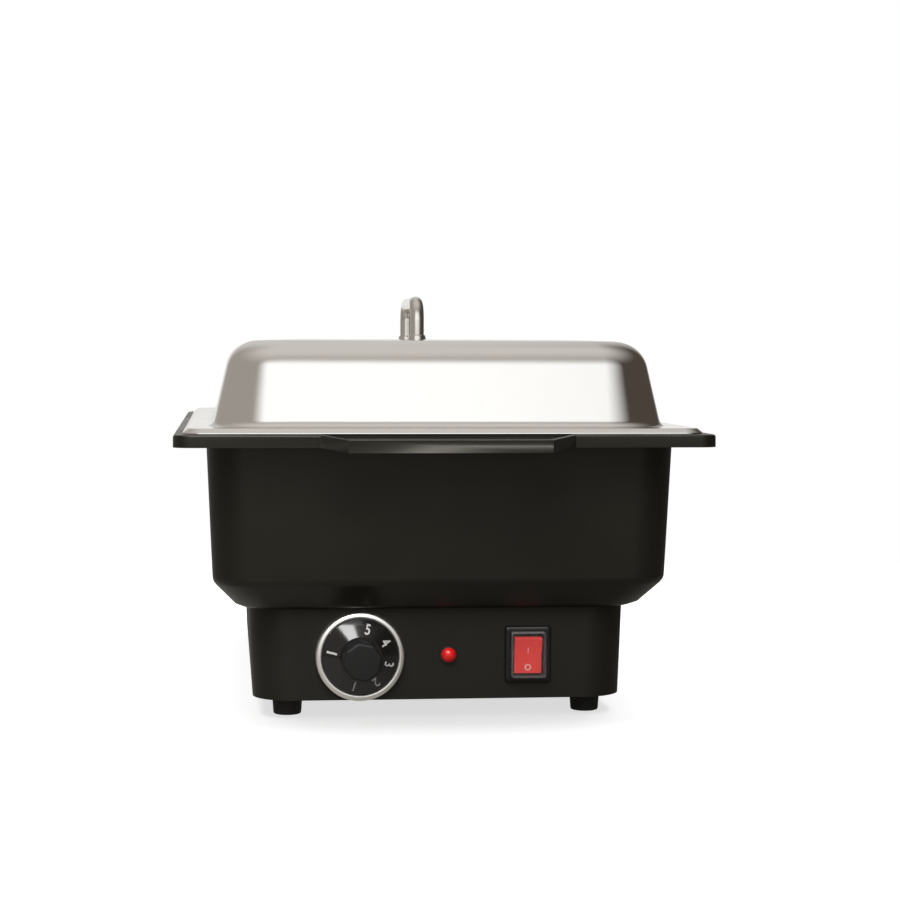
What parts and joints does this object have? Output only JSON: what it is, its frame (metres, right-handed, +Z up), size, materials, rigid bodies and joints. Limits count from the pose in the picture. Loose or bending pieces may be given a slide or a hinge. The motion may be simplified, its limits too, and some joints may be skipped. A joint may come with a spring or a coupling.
{
  "type": "electric chafing dish",
  "caption": "Countertop electric chafing dish: black moulded water tub with end grips on a control base, a rectangular steel food pan and a domed steel lift-off lid with a bar handle.",
  "frame": {"origin": "on the table, in the middle of the four feet", "axes": "+X across the dish towards its right side, +Y from the control panel towards the back, +Z up"},
  "size_m": [0.356, 0.6, 0.2889],
  "materials": {
    "tub_plastic": "satin black moulded plastic",
    "base_plastic": "fine-textured black moulded plastic",
    "cover_steel": "black powder coat on sheet steel",
    "foot_rubber": "matt black rubber",
    "zinc_steel": "zinc-plated steel",
    "pan_steel": "satin stainless steel",
    "lid_steel": "polished stainless steel",
    "handle_steel": "polished stainless steel",
    "seal_rubber": "heat-proof silicone",
    "element_sheath": "heat-stained steel sheath",
    "white_ceramic": "unglazed ceramic",
    "shield_aluminium": "bare folded sheet",
    "brass": "bare brass",
    "copper": "bare copper",
    "knob_plastic": "glossy black plastic",
    "bezel_chrome": "chromed metal",
    "lens_red": "translucent red plastic",
    "white_plastic": "natural nylon",
    "rocker_red": "red plastic with white marks",
    "clear_boot": "clear flexible silicone",
    "gland_plastic": "black nylon",
    "wire_brown": "insulated wire",
    "wire_blue": "insulated wire",
    "wire_green": "insulated wire",
    "wire_black": "insulated wire",
    "wire_grey": "glass-fibre sleeved wire"
  },
  "bodies": {
    "dish_base": {"tub": "tub_plastic", "base_housing": "base_plastic", "bottom_cover": "cover_steel", "foot_front_left": "foot_rubber", "foot_front_right": "foot_rubber", "foot_rear_left": "foot_rubber", "foot_rear_right": "foot_rubber", "foot_screws": "zinc_steel", "foot_nuts": "zinc_steel", "tie_screws": "zinc_steel", "heating_plate": "pan_steel", "plate_gasket": "seal_rubber", "plate_nuts": "zinc_steel", "heating_element": "element_sheath", "element_pins": "white_ceramic", "clamp_bars": "zinc_steel", "clamp_nuts": "zinc_steel", "heat_shield": "shield_aluminium", "shield_nuts": "zinc_steel", "thermal_cutout": "white_ceramic", "thermostat_body": "white_ceramic", "thermostat_screws": "zinc_steel", "thermostat_tabs": "brass", "sensor_bulb": "copper", "bulb_clips": "zinc_steel", "capillary_tube": "copper", "knob_bezel": "bezel_chrome", "pilot_lens": "lens_red", "pilot_body": "white_plastic", "pilot_nut": "zinc_steel", "switch_housing": "knob_plastic", "switch_boot": "clear_boot", "switch_tabs": "brass", "terminal_block": "white_plastic", "terminal_screws": "brass", "gland_body": "gland_plastic", "gland_cap": "gland_plastic", "gland_seal": "foot_rubber", "gland_locknut": "gland_plastic", "earth_tag": "brass", "live_wire": "wire_brown", "neutral_wire": "wire_blue", "earth_wire": "wire_green", "switched_wire": "wire_black", "cutout_wire": "wire_grey", "element_wire": "wire_grey", "return_wire": "wire_grey", "pilot_wires": "wire_grey"},
    "food_pan": {"food_pan": "pan_steel"},
    "lid": {"lid_shell": "lid_steel", "lid_handle": "handle_steel", "handle_ferrules": "handle_steel", "handle_screws": "zinc_steel", "handle_washers": "zinc_steel"},
    "control_knob": {"knob": "knob_plastic", "knob_clip": "zinc_steel", "thermostat_shaft": "brass"},
    "rocker": {"switch_rocker": "rocker_red"}
  },
  "joints": [
    {"name": "pan_lift", "type": "slide", "parent": "dish_base", "child": "food_pan", "axis": [0, 0, 1], "range_m": [0, 0.12]},
    {"name": "lid_lift", "type": "slide", "parent": "food_pan", "child": "lid", "axis": [0, 0, 1], "range_m": [0, 0.15]},
    {"name": "knob_turn", "type": "hinge", "parent": "dish_base", "child": "control_knob", "pos_m": [-0.0545, -0.231, 0.0422], "axis": [0, 1, 0], "range_deg": [0, 270]},
    {"name": "rocker_tilt", "type": "hinge", "parent": "dish_base", "child": "rocker", "pos_m": [0.0595, -0.229, 0.0422], "axis": [-1, 0, 0], "range_deg": [0, 22]}
  ]
}
